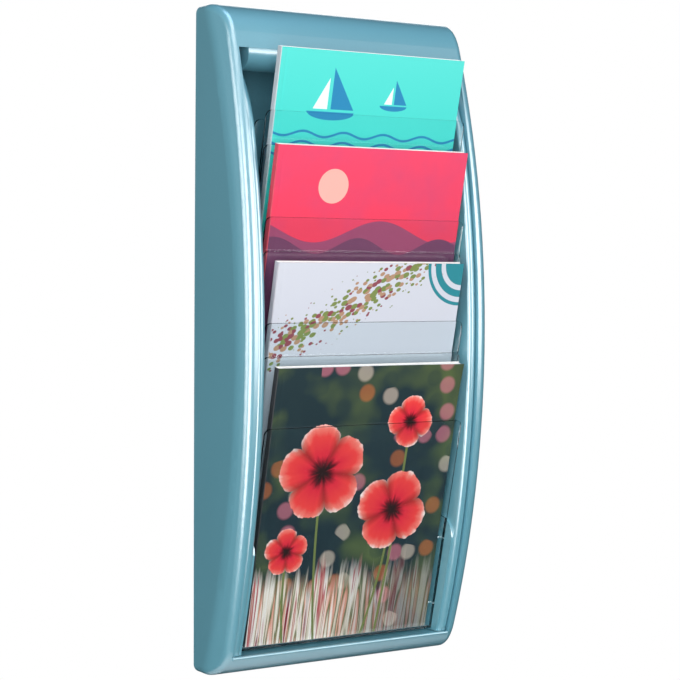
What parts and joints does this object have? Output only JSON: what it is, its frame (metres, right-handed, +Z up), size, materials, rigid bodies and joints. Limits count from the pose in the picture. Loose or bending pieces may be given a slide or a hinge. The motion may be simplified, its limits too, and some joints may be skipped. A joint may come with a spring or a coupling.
{
  "type": "wall brochure holder",
  "caption": "Wall brochure holder with a bowed silver frame and clear leaning pockets set one above another, each holding a brochure that lifts out.",
  "frame": {"origin": "middle of the wall side of the back panel, at half the frame's height and width", "axes": "+X to the viewer's right, +Y into the wall, +Z up; the front faces -Y"},
  "size_m": [0.287, 0.1022, 0.65],
  "materials": {
    "frame_plastic": "satin silver-grey moulded plastic",
    "rail_plastic": "satin silver-grey moulded plastic",
    "panel_plastic": "matt dark grey sheet",
    "clear_plastic": "clear polished polystyrene",
    "nylon": "natural nylon",
    "screw_steel": "zinc plated",
    "pages": "cut page edges",
    "cover_1": "printed coated card, turquoise",
    "cover_2": "printed coated card, coral red",
    "cover_3": "printed coated card, pale grey",
    "cover_4": "printed coated card, dark green"
  },
  "bodies": {
    "holder": {"front_frame": "frame_plastic", "left_pocket_rail": "rail_plastic", "right_pocket_rail": "rail_plastic", "back_panel": "panel_plastic", "pocket_1": "clear_plastic", "pocket_2": "clear_plastic", "pocket_3": "clear_plastic", "pocket_4": "clear_plastic", "pocket_pins": "nylon", "rail_screws": "screw_steel", "frame_screws": "screw_steel"},
    "brochure_1": {"brochure_1_cover": "cover_1", "brochure_1_pages": "pages"},
    "brochure_2": {"brochure_2_cover": "cover_2", "brochure_2_pages": "pages"},
    "brochure_3": {"brochure_3_cover": "cover_3", "brochure_3_pages": "pages"},
    "brochure_4": {"brochure_4_cover": "cover_4", "brochure_4_pages": "pages"}
  },
  "joints": [
    {"name": "brochure_1_lift", "type": "slide", "parent": "holder", "child": "brochure_1", "axis": [0, -0.225, 0.9744], "range_m": [0, 0.24]},
    {"name": "brochure_2_lift", "type": "slide", "parent": "holder", "child": "brochure_2", "axis": [0, -0.225, 0.9744], "range_m": [0, 0.24]},
    {"name": "brochure_3_lift", "type": "slide", "parent": "holder", "child": "brochure_3", "axis": [0, -0.225, 0.9744], "range_m": [0, 0.24]},
    {"name": "brochure_4_lift", "type": "slide", "parent": "holder", "child": "brochure_4", "axis": [0, -0.225, 0.9744], "range_m": [0, 0.24]}
  ]
}
